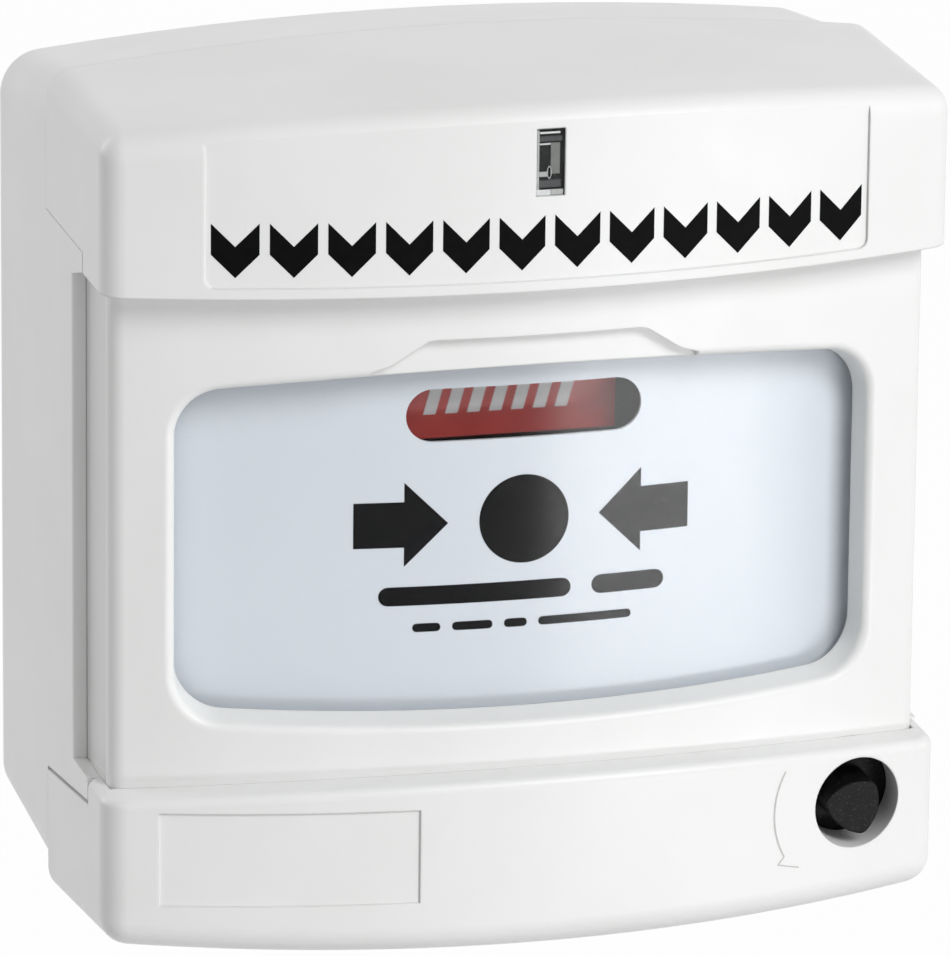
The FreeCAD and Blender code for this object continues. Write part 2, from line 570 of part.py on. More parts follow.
def chassis():
    front = housing_outline("chassis_front", "chassis_depth", "bezel_half", "chassis_head", "-chassis_foot",
                            "(crown_radius - shell - run_gap)")
    plate = prism("chassis_sheet", front, "chassis_plate")
    pillars = rods("chassis_pillar", BOARD_PILLARS, "pillar_radius", "board_depth + board", "chassis_depth")
    track = "arm_half + slip"
    bed = box("guide_bed", "key_side - (%s) - guide_cheek" % track, "key_side + (%s) + guide_cheek" % track,
              "chassis_depth", "slide_front", "guide_foot", "guide_head")
    way = box("guide_way", "key_side - (%s)" % track, "key_side + (%s)" % track,
              "slide_depth - fit_gap", "depth", "guide_foot - overrun", "guide_head + overrun")
    shelf = box("spring_shelf", "key_side - flag_coil - shelf", "key_side + flag_coil + shelf",
                "chassis_depth", "slide_front + flag_coil", "shelf_foot", "shelf_foot + shelf")
    solid = join("chassis_solid", plate, bed, shelf, *pillars)
    through = ("seam_depth", "chassis_face + overrun")
    holes = rods("chassis_screw_hole", CHASSIS_POSTS, "screw_radius + slip", *through)
    holes += rods("chassis_pilot", BOARD_PILLARS, "screw_radius + pilot_gap", "board_depth",
                  "chassis_face + overrun")
    holes += rods("chassis_peg_hole", PEGS, "peg_radius + slip", *through)
    holes.append(rod("chassis_bearing", KEY_AXIS, "journal_radius + slip", *through))
    holes.append(box("chassis_pipe_hole", "-pipe_half - slip", "pipe_half + slip", *through,
                     "pipe_foot - slip", "pipe_foot + stem_tall + slip"))
    keep("chassis", cut("chassis", solid, way, *holes))
    keep("chassis_screws", group("chassis_screws", [
        front_screw("chassis_screw_%d" % number, centre) for number, centre in enumerate(CHASSIS_POSTS)]))


def circuit_board():
    blank = box("board_blank", "-board_half", "board_half", "board_depth", "board_depth + board",
                "-board_foot", "board_head")
    holes = rods("board_hole", BOARD_PILLARS, "screw_radius + slip", "board_depth - overrun",
                 "chassis_depth")
    keep("circuit_board", cut("circuit_board", blank, *holes))
    keep("board_screws", group("board_screws", [
        rear_screw("board_screw_%d" % number, centre) for number, centre in enumerate(BOARD_PILLARS)]))


def terminals():
    block = box("terminal_form", "-terminal_half", "terminal_half", "terminal_rear", "board_depth",
                "terminal_foot", "terminal_foot + terminal_high")
    centres = [("pole_pitch * (%d + 0.5) - terminal_half" % number, "terminal_middle")
               for number in range(int(value("poles")))]
    floor = "terminal_rear + well_deep + clamp_tall"
    wells = rods("terminal_well", centres, "well_radius", "terminal_rear - overrun", floor)
    clamps = rods("terminal_screw", centres, "well_radius - fit_gap", "terminal_rear + well_deep", floor)
    mouths = []
    for number, (x, z) in enumerate(centres):
        mouth = doc.addObject("Part::Cylinder", "terminal_mouth_%d" % number)
        mouth.setExpression("Radius", bound("mouth_radius"))
        mouth.setExpression("Height", bound("mouth_deep + overrun"))
        mouths.append(place(mouth, x, "mouth_lift - board_depth", "terminal_foot - overrun"))
    keep("terminal_block", cut("terminal_block", block, *wells, *mouths))
    keep("terminal_screws", group("terminal_screws", clamps))


# Push plate, film and carrier

def bowed_sheet(name, front, thick):
    """A round-cornered sheet parallel to the plate's face, its front a given distance behind that face."""
    square = prism(name + "_square", window_outline(name + "_front", "seam_depth", "-plate_margin"), "depth")
    blank = rounded(name + "_blank", square, "window_corner", runs_back)
    back = "(%s) + (%s)" % (front, thick)
    face, rear = [drum(name + mark, "plate_depth - (%s)" % inset, "plate_radius - (%s)" % inset)
                  for mark, inset in (("_face", front), ("_back", back))]
    return cut(name + "_sheet", meet(name + "_fore", blank, face), rear)


def sight_hole():
    """The obround through which the flag shows."""
    run = "(sight_half - sight_radius)"
    middle = box("sight_middle", "-" + run, run, "window_rear", "depth",
                 "sight_height - sight_radius", "sight_height + sight_radius")
    centres = [("-" + run, "sight_height"), (run, "sight_height")]
    ends = rods("sight_end", centres, "sight_radius", "window_rear", "depth")
    return join("sight_hole", middle, *ends)


def push_plate():
    keep("push_plate", bowed_sheet("plate", "0", "plate"))
    keep("legend_film", cut("legend_film", bowed_sheet("film", "film_inset", "film"), sight_hole()))


def plate_carrier():
    bay = box("carrier_bay", "-bay_half", "bay_half", "seam_depth", "depth", "flag_foot - bay_gap",
              "window_head + plate_margin + overrun")
    backing = cut("carrier_backing", bowed_sheet("carrier", "carrier_inset", "carrier"), bay)
    pegs = rods("carrier_peg", PEGS, "peg_radius", "chassis_depth - peg_tail", "plate_depth")
    pads = rods("carrier_pad", SWITCHES, "pad_radius", "plunger_tip + fit_gap", "plate_depth")
    inside = "carrier_inset + carrier / 2"
    trim = drum("carrier_trim", "plate_depth - (%s)" % inside, "plate_radius - (%s)" % inside)
    posts = meet("carrier_posts", join("carrier_post_group", *pegs, *pads), trim)
    keep("plate_carrier", join("plate_carrier", backing, posts))


# Springs

def coil(name, radius, wire, turns, length):
    """A coil spring of the given outer radius and length, standing on its own origin."""
    path = doc.addObject("Part::Helix", name + "_path")
    path.setExpression("Radius", bound("%s - %s" % (radius, wire)))
    path.setExpression("Height", bound("(%s) - %s * 2" % (length, wire)))
    path.setExpression("Pitch", bound("((%s) - %s * 2) / %s" % (length, wire, turns)))
    section = doc.addObject("Part::RegularPolygon", name + "_wire")
    section.setExpression("Circumradius", bound(wire))
    place(section, "%s - %s" % (radius, wire), "0", "0", FRONT_PLANE)
    doc.recompute()
    spring = doc.addObject("Part::Sweep", name)
    spring.Sections = [section]
    spring.Spine = (path, ["Edge%d" % (number + 1) for number in range(len(path.Shape.Edges))])
    spring.Solid = True
    spring.Frenet = True
    return spring


def springs():
    slope = sag("plate_radius", "peg_side + coil_radius")
    room = "carrier_depth - %s - chassis_face - fit_gap" % slope
    pair = [place(coil("plate_coil_%d" % number, "coil_radius", "wire_radius", "plate_turns", room),
                  x, "-chassis_face - wire_radius", z, FRONT_PLANE)
            for number, (x, z) in enumerate(PEGS)]
    keep("plate_springs", group("plate_springs", pair))
    return_coil = coil("flag_coil_spring", "flag_coil", "flag_wire", "flag_turns", "spring_room")
    keep("flag_spring", place(return_coil, "key_side", "-slide_middle", "bar_head + flag_wire"))


# Switches

def switches():
    bodies = []
    for number, (x, z) in enumerate(SWITCHES):
        case = box("switch_case_%d" % number, x + " - switch_wide / 2", x + " + switch_wide / 2",
                   "chassis_face", "switch_face", z + " - switch_long / 2", z + " + switch_long / 2")
        bore = rod("switch_bore_%d" % number, (x, z), "plunger_radius + slip",
                   "switch_face - plunger_in - press - run_gap", "switch_face + overrun")
        bodies.append(cut("switch_%d" % number, case, bore))
    plungers = rods("plunger", SWITCHES, "plunger_radius", "switch_face - plunger_in", "plunger_tip")
    keep("switch_bodies", group("switch_bodies", bodies))
    keep("switch_plungers", group("switch_plungers", plungers))


# Key, cam and clip

def key_parts():
    head = rod("barrel_head", KEY_AXIS, "barrel_radius", "barrel_seat", "barrel_face")
    journal = rod("barrel_journal", KEY_AXIS, "journal_radius", "journal_end", "barrel_seat + overrun")
    keep("key_barrel", join("key_barrel", head, journal))
    corners = [
        ("lobe_radius * cos(lobe_turn + %d)" % turn, "lobe_radius * sin(lobe_turn + %d)" % turn, "lobe_arc")
        for turn in (0, 120, 240)]
    outline = sketch("post_front", corners, FRONT_PLANE, "key_side", "-barrel_face",
                     "-key_drop - lobe_drop")
    post = prism("post_prism", outline, "post_face - barrel_face")
    keep("key_post", rounded("key_post", post, "lobe_round", runs_back))
    disc = rod("clip_disc", KEY_AXIS, "clip_radius", "clip_front - clip_thick", "clip_front")
    hole = rod("clip_hole", KEY_AXIS, "journal_radius + pilot_gap", "journal_end", "chassis_depth")
    mouth = box("clip_mouth_cut", "key_side - clip_mouth", "key_side + clip_mouth", "journal_end",
                "chassis_depth", "-key_drop - clip_radius - overrun", "-key_drop")
    keep("cam_clip", cut("cam_clip", disc, hole, mouth))


def key_cam():
    """Spiral cam: its radius grows evenly with the turn, so the flag rises evenly with the key."""
    low, lift = value("cam_low"), value("cam_lift")
    sweep, dwell, flank = (math.radians(value(name)) for name in ("cam_sweep", "cam_dwell", "cam_flank"))

    def point(angle, radius):
        return FreeCAD.Vector(radius * math.cos(angle), radius * math.sin(angle), 0)

    start = math.pi / 2
    top = start + sweep
    foot = top + dwell + flank
    back = (foot + start) / 2 + math.pi
    shares = [step / 8 for step in range(9)]
    spiral = Part.BSplineCurve()
    spiral.interpolate([point(start + sweep * share, low + lift * share) for share in shares])
    crest = Part.Arc(*[point(top + dwell * share, low + lift) for share in (0, 0.5, 1)])
    fall = Part.LineSegment(point(top + dwell, low + lift), point(foot, low))
    hub = Part.Arc(point(foot, low), point(back, low), point(start, low))
    outline = Part.Wire([curve.toShape() for curve in (spiral, crest, fall, hub)])
    blank = Part.Face(outline).extrude(FreeCAD.Vector(0, 0, value("cam_thick")))
    cam = doc.addObject("Part::Feature", "key_cam")
    cam.Shape = blank.cut(Part.makeCylinder(value("journal_radius + pilot_gap"), value("cam_thick")))
    keep("key_cam", place(cam, "key_side", "-cam_depth", "-key_drop", FRONT_PLANE))


# Flag and slide

def flag_parts():
    left, right = "key_side - arm_half", "key_side + arm_half"
    shoulder = "nose_foot + nose_tall"
    arm = box("slide_arm", left, right, "slide_depth", "slide_front", shoulder, "bar_head")
    points = [("key_side - nose_half", "nose_foot", "nose_radius"), ("key_side + nose_half", "nose_foot"),
              (right, shoulder), (left, shoulder)]
    outline = sketch("slide_nose_front", points, FRONT_PLANE, y="-slide_depth")
    nose = prism("slide_nose", outline, "slide_thick")
    bar = box("slide_bar", "-flag_half", right, "slide_depth", "slide_front", "bar_foot", "bar_head")
    middle = "bar_foot + bar_tall / 2"
    rivets = rods("slide_rivet", [("-rivet_side", middle), ("rivet_side", middle)], "rivet_radius",
                  "slide_front", "flag_face - flag")
    keep("flag_slide", join("flag_slide", arm, nose, bar, *rivets))
    keep("indicator_flag", box("indicator_flag", "-flag_half", "flag_half", "flag_face - flag", "flag_face",
                               "flag_foot", "bar_head"))


# Indicator light

def indicator_light():
    head = box("pipe_front", "-pipe_half", "pipe_half", "depth - shell * 2", "depth - pipe_recess",
               "pipe_foot", "pipe_head")
    flange = box("pipe_shoulder", "-pipe_half - pipe_flange", "pipe_half + pipe_flange",
                 "pipe_seat - flange_thick", "pipe_seat", "pipe_foot - pipe_flange", "pipe_head")
    stem = box("pipe_stem", "-pipe_half", "pipe_half", "chassis_depth", "pipe_seat",
               "pipe_foot", "pipe_foot + stem_tall")
    keep("light_pipe", join("light_pipe", head, flange, stem))
    height = "pipe_foot + stem_tall / 2"
    neck = "chassis_depth - lamp_gap - lamp_radius"
    bulb = rod("lamp_bulb", ("0", height), "lamp_radius", "board_depth + board", neck)
    dome = ball("lamp_dome", "lamp_radius", "0", "-(%s)" % neck, height)
    keep("led_lamp", join("led_lamp", bulb, dome))


back_box()
top_hood()
front_bezel()
lower_cap()
chassis()
circuit_board()
terminals()
push_plate()
plate_carrier()
springs()
switches()
key_parts()
key_cam()
flag_parts()
indicator_light()
doc.recompute()

faults = [item.Name for item in doc.Objects if "Invalid" in item.State or "Error" in item.State]
faults += [node for node, piece in parts.items() if piece.Shape.isNull() or not piece.Shape.isValid()]
if faults:
    raise RuntimeError("these did not build: " + ", ".join(faults))
os.makedirs("parts", exist_ok=True)
for node, piece in parts.items():
    piece.Shape.exportStep("parts/%s.step" % node)
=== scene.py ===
import json
import math

import bmesh
import bpy
from mathutils import Matrix, Vector


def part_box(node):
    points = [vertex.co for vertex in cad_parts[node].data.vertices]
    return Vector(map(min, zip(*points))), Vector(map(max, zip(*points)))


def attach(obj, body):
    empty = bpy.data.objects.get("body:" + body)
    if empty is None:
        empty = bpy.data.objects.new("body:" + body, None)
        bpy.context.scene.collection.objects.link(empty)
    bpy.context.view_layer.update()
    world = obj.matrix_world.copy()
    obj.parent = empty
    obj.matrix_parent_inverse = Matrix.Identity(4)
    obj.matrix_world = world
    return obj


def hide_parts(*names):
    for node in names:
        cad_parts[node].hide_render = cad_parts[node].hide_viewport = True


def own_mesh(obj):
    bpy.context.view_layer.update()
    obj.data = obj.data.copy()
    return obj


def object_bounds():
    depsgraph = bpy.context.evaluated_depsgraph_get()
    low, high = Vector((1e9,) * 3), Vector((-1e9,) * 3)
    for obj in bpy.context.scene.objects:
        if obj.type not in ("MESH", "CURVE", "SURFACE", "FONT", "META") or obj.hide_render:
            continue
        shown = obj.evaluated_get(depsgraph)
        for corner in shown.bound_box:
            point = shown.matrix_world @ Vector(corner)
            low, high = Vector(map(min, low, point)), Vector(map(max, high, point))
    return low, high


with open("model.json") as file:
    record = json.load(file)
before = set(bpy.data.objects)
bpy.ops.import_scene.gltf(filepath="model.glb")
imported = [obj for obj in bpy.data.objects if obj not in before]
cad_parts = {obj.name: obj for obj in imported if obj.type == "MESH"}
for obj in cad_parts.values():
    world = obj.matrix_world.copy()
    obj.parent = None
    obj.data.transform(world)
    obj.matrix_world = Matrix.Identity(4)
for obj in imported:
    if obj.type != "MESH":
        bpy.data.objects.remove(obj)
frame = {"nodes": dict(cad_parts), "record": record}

# Looks of a wall-mounted call point: finishes for every part, the printed marks and the studio.
# Metres. X runs to the right, Y into the wall and Z up.

MM = 0.001
CAD_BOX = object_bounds()

# Camera, fitted to the photograph
IMAGE_TALL = 956
FOCAL_PIXELS = 9439
SENSOR = 36
VIEW_YAW = math.radians(15.08)
VIEW_PITCH = math.radians(17.05)
VIEW_ROLL = math.radians(-0.61)
VIEW_DISTANCE = 1.0
VIEW_RIGHT = -7.161 * MM
VIEW_UP = 9.229 * MM

# Rays that show the background itself, and rays that carry light to what lies behind a clear face
BACKGROUND_RAYS = ("Is Camera Ray", "Is Glossy Ray", "Is Transmission Ray")
LIGHTING_RAYS = ("Is Shadow Ray", "Is Diffuse Ray")

# Bowed faces that carry print and painted shade, and the layer laid on them
HOOD_BOW = 136 * MM
PANEL_RECESS = 0.3 * MM
PLATE_BOW = 128 * MM
NEARLY_FLAT = 1000
FILM_INSET = 1.3 * MM
LAYER_THICKNESS = 0.03 * MM
FACET = 1 * MM
WELD = 0.01 * MM

# Clear lens in the hood, in millimetres
LENS_HALF = 1.4
LENS_FOOT = 36.2
LENS_TALL = 6.8


# Studio

def aim_camera():
    """Looks down at the object from the left, as the photograph does."""
    right = Vector((math.cos(VIEW_YAW), -math.sin(VIEW_YAW), 0))
    forward = Vector((math.sin(VIEW_YAW) * math.cos(VIEW_PITCH),
                      math.cos(VIEW_YAW) * math.cos(VIEW_PITCH), -math.sin(VIEW_PITCH)))
    up = right.cross(forward)
    place = -VIEW_DISTANCE * forward - VIEW_RIGHT * right - VIEW_UP * up
    across = math.cos(VIEW_ROLL) * right - math.sin(VIEW_ROLL) * up
    upward = math.sin(VIEW_ROLL) * right + math.cos(VIEW_ROLL) * up
    camera = bpy.data.objects.new("camera", bpy.data.cameras.new("camera"))
    camera.data.sensor_width = SENSOR
    camera.data.lens = FOCAL_PIXELS * SENSOR / IMAGE_TALL
    turn = Matrix((across, upward, -forward)).transposed().to_4x4()
    camera.matrix_world = Matrix.Translation(place) @ turn
    bpy.context.scene.collection.objects.link(camera)
    bpy.context.scene.camera = camera


def soft_lamp(name, place, wide, tall, level):
    """A flat lamp aimed at the object. Level is the light that it adds to a white face turned to it."""
    place = Vector(place)
    data = bpy.data.lights.new(name, "AREA")
    data.shape = "RECTANGLE"
    data.size = wide
    data.size_y = tall
    data.energy = level * math.pi ** 2 * place.length_squared
    lamp = bpy.data.objects.new(name, data)
    lamp.matrix_world = Matrix.Translation(place) @ place.to_track_quat("Z", "Y").to_matrix().to_4x4()
    bpy.context.scene.collection.objects.link(lamp)


def any_ray(tree, first, *others):
    """One for rays of any of the given kinds, and zero for the rest."""
    path = tree.nodes.new("ShaderNodeLightPath")
    total = path.outputs[first]
    for kind in others:
        either = tree.nodes.new("ShaderNodeMath")
        either.operation = "MAXIMUM"
        tree.links.new(total, either.inputs[0])
        tree.links.new(path.outputs[kind], either.inputs[1])
        total = either.outputs["Value"]
    return total


def light_world(level):
    """Even light from all round at the given level, in front of a white background."""
    world = bpy.data.worlds.new("studio")
    world.use_nodes = True
    bpy.context.scene.world = world
    tree = world.node_tree
    strength = tree.nodes.new("ShaderNodeMapRange")
    strength.inputs["To Min"].default_value = level
    tree.links.new(any_ray(tree, *BACKGROUND_RAYS), strength.inputs["Value"])
    background = tree.nodes["Background"]
    background.inputs["Color"].default_value = (1, 1, 1, 1)
    tree.links.new(strength.outputs["Result"], background.inputs["Strength"])


def lay_floor(drop, half):
    """A pale floor below the object, shown nearly white, which still takes its shadow."""
    level = CAD_BOX[0][2] - drop
    mesh = bpy.data.meshes.new("floor")
    corners = [(-half, -half, level), (half, -half, level), (half, half, level), (-half, half, level)]
    mesh.from_pydata(corners, [], [(0, 1, 2, 3)])
    floor = bpy.data.objects.new("floor", mesh)
    bpy.context.scene.collection.objects.link(floor)
    material = bpy.data.materials.new("floor")
    material.use_nodes = True
    tree = material.node_tree
    shader = tree.nodes["Principled BSDF"]
    shader.inputs["Base Color"].default_value = (0.7, 0.7, 0.7, 1)
    shader.inputs["Roughness"].default_value = 0.9
    shader.inputs["Specular IOR Level"].default_value = 0.1
    glow = tree.nodes.new("ShaderNodeEmission")
    share = tree.nodes.new("ShaderNodeMapRange")
    share.inputs["To Max"].default_value = 0.98
    tree.links.new(any_ray(tree, *BACKGROUND_RAYS), share.inputs["Value"])
    mix = tree.nodes.new("ShaderNodeMixShader")
    tree.links.new(share.outputs["Result"], mix.inputs["Fac"])
    tree.links.new(shader.outputs["BSDF"], mix.inputs[1])
    tree.links.new(glow.outputs["Emission"], mix.inputs[2])
    tree.links.new(mix.outputs["Shader"], tree.nodes["Material Output"].inputs["Surface"])
    mesh.materials.append(material)


def light_studio():
    """Soft light from the upper right front. The low strip gives the pale haze on the right of the plate."""
    light_world(level=0.41)
    soft_lamp("key_lamp", place=(0.45, -1.0, 0.75), wide=0.5, tall=0.5, level=0.49)
    soft_lamp("right_lamp", place=(1.15, -0.45, 0.3), wide=0.7, tall=0.7, level=0.1)
    soft_lamp("low_lamp", place=(0.453, -0.852, -0.25), wide=0.39, tall=0.1, level=0.17)
    soft_lamp("left_lamp", place=(-0.9, 0.8, 0.4), wide=0.7, tall=0.7, level=0.25)
    lay_floor(drop=0.45, half=3)


# Finishes

class Finish:
    """A procedural material: one shader, and the textures that feed it in the object's own metres."""

    def __init__(self, name, constants=None):
        self.material = bpy.data.materials.new(name)
        self.material.use_nodes = True
        self.tree = self.material.node_tree
        self.shader = self.tree.nodes["Principled BSDF"]
        for socket, constant in (constants or {}).items():
            self.shader.inputs[socket].default_value = constant
        self.place = self.tree.nodes.new("ShaderNodeTexCoord").outputs["Object"]

    def noise(self, size, detail=2.0, stretch=(1, 1, 1)):
        """Soft blotches about the given size across, drawn out along an axis where stretched."""
        mapping = self.tree.nodes.new("ShaderNodeMapping")
        mapping.inputs["Scale"].default_value = [1 / (size * factor) for factor in stretch]
        texture = self.tree.nodes.new("ShaderNodeTexNoise")
        texture.inputs["Scale"].default_value = 1
        texture.inputs["Detail"].default_value = detail
        self.tree.links.new(self.place, mapping.inputs["Vector"])
        self.tree.links.new(mapping.outputs["Vector"], texture.inputs["Vector"])
        return texture.outputs["Fac"]

    def ramp(self, source, first, last):
        """Black to white between two levels of a texture."""
        scale = self.tree.nodes.new("ShaderNodeMapRange")
        scale.interpolation_type = "SMOOTHSTEP"
        scale.inputs["From Min"].default_value = first
        scale.inputs["From Max"].default_value = last
        self.tree.links.new(source, scale.inputs["Value"])
        return scale.outputs["Result"]

    def colour(self, source, *stops):
        """Colour along a texture, with evenly spread stops."""
        ramp = self.tree.nodes.new("ShaderNodeValToRGB")
        stripe = ramp.color_ramp.elements
        for index, stop in enumerate(stops):
            level = index / (len(stops) - 1)
            element = stripe[index] if index < len(stripe) else stripe.new(level)
            element.position = level
            element.color = (*stop, 1)
        self.tree.links.new(source, ramp.inputs["Fac"])
        self.tree.links.new(ramp.outputs["Color"], self.shader.inputs["Base Color"])

    def roughness(self, source, low, high):
        """Roughness between two levels along a texture."""
        scale = self.tree.nodes.new("ShaderNodeMapRange")
        scale.inputs["To Min"].default_value = low
        scale.inputs["To Max"].default_value = high
        self.tree.links.new(source, scale.inputs["Value"])
        self.tree.links.new(scale.outputs["Result"], self.shader.inputs["Roughness"])

    def bump(self, source, height, soft_edge=0.0):
        """Relief of a given height, over edges that catch the light as slightly rounded ones do."""
        relief = self.tree.nodes.new("ShaderNodeBump")
        relief.inputs["Distance"].default_value = height
        self.tree.links.new(source, relief.inputs["Height"])
        if soft_edge:
            edge = self.tree.nodes.new("ShaderNodeBevel")
            edge.samples = 6
            edge.inputs["Radius"].default_value = soft_edge
            self.tree.links.new(edge.outputs["Normal"], relief.inputs["Normal"])
        self.tree.links.new(relief.outputs["Normal"], self.shader.inputs["Normal"])

    def pass_light(self):
        """Lets light straight through, so that what lies behind is lit as if it were uncovered."""
        clear = self.tree.nodes.new("ShaderNodeBsdfTransparent")
        mix = self.tree.nodes.new("ShaderNodeMixShader")
        self.tree.links.new(any_ray(self.tree, *LIGHTING_RAYS), mix.inputs["Fac"])
        self.tree.links.new(self.shader.outputs["BSDF"], mix.inputs[1])
        self.tree.links.new(clear.outputs["BSDF"], mix.inputs[2])
        self.tree.links.new(mix.outputs["Shader"], self.tree.nodes["Material Output"].inputs["Surface"])


def white_shell():
    """Satin white moulding with a fine spark-eroded grain and faint handling marks."""
    finish = Finish("white_shell", {"Specular IOR Level": 0.45})
    tint = finish.ramp(finish.noise(22 * MM, 3), 0.3, 0.7)
    finish.colour(tint, (0.805, 0.81, 0.80), (0.835, 0.84, 0.835))
    finish.roughness(finish.noise(5 * MM, 4), 0.3, 0.44)
    finish.bump(finish.noise(0.35 * MM, 2), 0.004 * MM, soft_edge=0.3 * MM)
    return finish.material


def clear_plate():
    """Polished clear plastic with fine wipe marks. Its low index keeps the mirrored room faint."""
    finish = Finish("clear_plate", {
        "Base Color": (0.98, 0.99, 1, 1), "Transmission Weight": 1.0, "IOR": 1.15})
    wipe_marks = finish.ramp(finish.noise(0.8 * MM, 3, stretch=(12, 12, 1)), 0.45, 0.75)
    finish.roughness(wipe_marks, 0.14, 0.17)
    finish.bump(finish.noise(12 * MM, 1), 0.001 * MM)
    finish.pass_light()
    return finish.material


def clear_pipe():
    """Clear moulding with a slightly uneven face."""
    finish = Finish("clear_pipe", {
        "Base Color": (0.95, 0.97, 0.98, 1), "Transmission Weight": 1.0, "IOR": 1.3})
    finish.roughness(finish.noise(1.5 * MM, 3), 0.02, 0.1)
    finish.bump(finish.noise(2.5 * MM, 1), 0.01 * MM)
    return finish.material


def legend_film():
    """Pale blue-white printed film."""
    finish = Finish("legend_film", {"Specular IOR Level": 0.2})
    tint = finish.ramp(finish.noise(40 * MM, 2), 0.3, 0.7)
    finish.colour(tint, (0.675, 0.715, 0.763), (0.695, 0.735, 0.783))
    finish.roughness(finish.noise(3 * MM, 3), 0.35, 0.5)
    finish.bump(finish.noise(0.5 * MM, 2), 0.002 * MM)
    return finish.material


def dark_ink():
    """Matt black print."""
    finish = Finish("dark_ink", {"Specular IOR Level": 0.03})
    finish.colour(finish.noise(1.2 * MM, 3), (0.002, 0.002, 0.0024), (0.007, 0.007, 0.0075))
    finish.roughness(finish.noise(0.6 * MM, 3), 0.35, 0.55)
    finish.bump(finish.noise(0.2 * MM, 2), 0.002 * MM)
    return finish.material


def white_ink_and_highlight():
    """White print, also laid as painted highlights in the lens."""
    finish = Finish("white_ink_and_highlight")
    finish.colour(finish.noise(1.2 * MM, 3), (0.72, 0.72, 0.72), (0.8, 0.8, 0.8))
    finish.roughness(finish.noise(0.6 * MM, 3), 0.4, 0.6)
    return finish.material


def grey_ink_and_shade():
    """Pale grey print, also laid as painted shade along a moulded line."""
    finish = Finish("grey_ink_and_shade", {"Specular IOR Level": 0.3})
    finish.colour(finish.noise(0.8 * MM, 3), (0.48, 0.48, 0.47), (0.58, 0.58, 0.57))
    finish.roughness(finish.noise(0.6 * MM, 3), 0.4, 0.6)
    return finish.material


def dim_grey():
    """Mid grey of a surface seen deep in a clear moulding."""
    finish = Finish("dim_grey", {"Specular IOR Level": 0.2})
    finish.colour(finish.noise(0.9 * MM, 3), (0.15, 0.155, 0.145), (0.27, 0.275, 0.26))
    finish.roughness(finish.noise(0.6 * MM, 3), 0.4, 0.6)
    return finish.material


def red_flag():
    """Dull red moulding."""
    finish = Finish("red_flag", {"Specular IOR Level": 0.4})
    tint = finish.ramp(finish.noise(4 * MM, 4), 0.3, 0.7)
    finish.colour(tint, (0.43, 0.05, 0.042), (0.5, 0.062, 0.052))
    finish.roughness(finish.noise(1 * MM, 3), 0.38, 0.52)
    finish.bump(finish.noise(0.3 * MM, 2), 0.003 * MM)
    return finish.material


def black_plastic():
    """Black moulding with a coarse grain and a few pale rubbed flecks."""
    finish = Finish("black_plastic", {"Specular IOR Level": 0.15})
    flecks = finish.ramp(finish.noise(0.35 * MM, 4), 0.56, 0.8)
    finish.colour(flecks, (0.004, 0.004, 0.0044), (0.06, 0.06, 0.06))
    finish.roughness(finish.noise(0.8 * MM, 3), 0.3, 0.55)
    finish.bump(finish.noise(0.3 * MM, 3), 0.02 * MM, soft_edge=0.3 * MM)
    return finish.material


def grey_plastic():
    """Dark grey moulding of the inner parts."""
    finish = Finish("grey_plastic")
    finish.colour(finish.noise(6 * MM, 3), (0.05, 0.05, 0.053), (0.075, 0.075, 0.078))
    finish.roughness(finish.noise(2 * MM, 3), 0.45, 0.65)
    finish.bump(finish.noise(0.4 * MM, 2), 0.006 * MM, soft_edge=0.2 * MM)
    return finish.material


def steel():
    """Zinc-plated steel with a fine uneven shine."""
    finish = Finish("steel", {"Metallic": 1.0})
    finish.colour(finish.noise(1.5 * MM, 4), (0.5, 0.51, 0.52), (0.68, 0.69, 0.7))
    finish.roughness(finish.noise(0.5 * MM, 3), 0.22, 0.42)
    finish.bump(finish.noise(0.25 * MM, 2), 0.003 * MM)
    return finish.material


def red_plunger():
    """Smooth red moulding."""
    finish = Finish("red_plunger")
    finish.colour(finish.noise(1 * MM, 3), (0.5, 0.06, 0.05), (0.62, 0.09, 0.07))
    finish.roughness(finish.noise(0.6 * MM, 2), 0.25, 0.4)
    finish.bump(finish.noise(0.3 * MM, 2), 0.003 * MM)
    return finish.material


def board_green():
    """Solder mask over copper, which shows as a faint pattern of tracks."""
    finish = Finish("board_green")
    tracks = finish.ramp(finish.noise(3 * MM, 1, stretch=(4, 1, 1)), 0.47, 0.53)
    finish.colour(tracks, (0.012, 0.12, 0.045), (0.02, 0.2, 0.08))
    finish.roughness(finish.noise(2 * MM, 3), 0.25, 0.4)
    finish.bump(tracks, 0.03 * MM)
    return finish.material


def lamp_clear():
    """Clear resin of the lamp."""
    finish = Finish("lamp_clear", {"Transmission Weight": 0.8, "IOR": 1.5})
    finish.colour(finish.noise(1 * MM, 2), (0.85, 0.85, 0.82), (0.92, 0.92, 0.9))
    finish.roughness(finish.noise(0.7 * MM, 2), 0.05, 0.15)
    return finish.material


def terminal_green():
    """Green moulding of the terminals."""
    finish = Finish("terminal_green")
    finish.colour(finish.noise(3 * MM, 3), (0.05, 0.26, 0.11), (0.07, 0.33, 0.15))
    finish.roughness(finish.noise(1 * MM, 3), 0.4, 0.55)
    finish.bump(finish.noise(0.35 * MM, 2), 0.006 * MM, soft_edge=0.15 * MM)
    return finish.material


FINISHES = {make.__name__: make() for make in (
    white_shell, clear_plate, clear_pipe, legend_film, red_flag, black_plastic, grey_plastic, steel,
    red_plunger, board_green, lamp_clear, terminal_green)}
DARK_INK = dark_ink()
WHITE_INK_AND_HIGHLIGHT = white_ink_and_highlight()
GREY_INK_AND_SHADE = grey_ink_and_shade()
DIM_GREY = dim_grey()


def dress_nodes():
    """Gives every CAD node the finish that its record names."""
    for subpart in frame["record"]["subparts"]:
        mesh = frame["nodes"][subpart["node"]].data
        mesh.materials.clear()
        mesh.materials.append(FINISHES[subpart["material_slot"]])
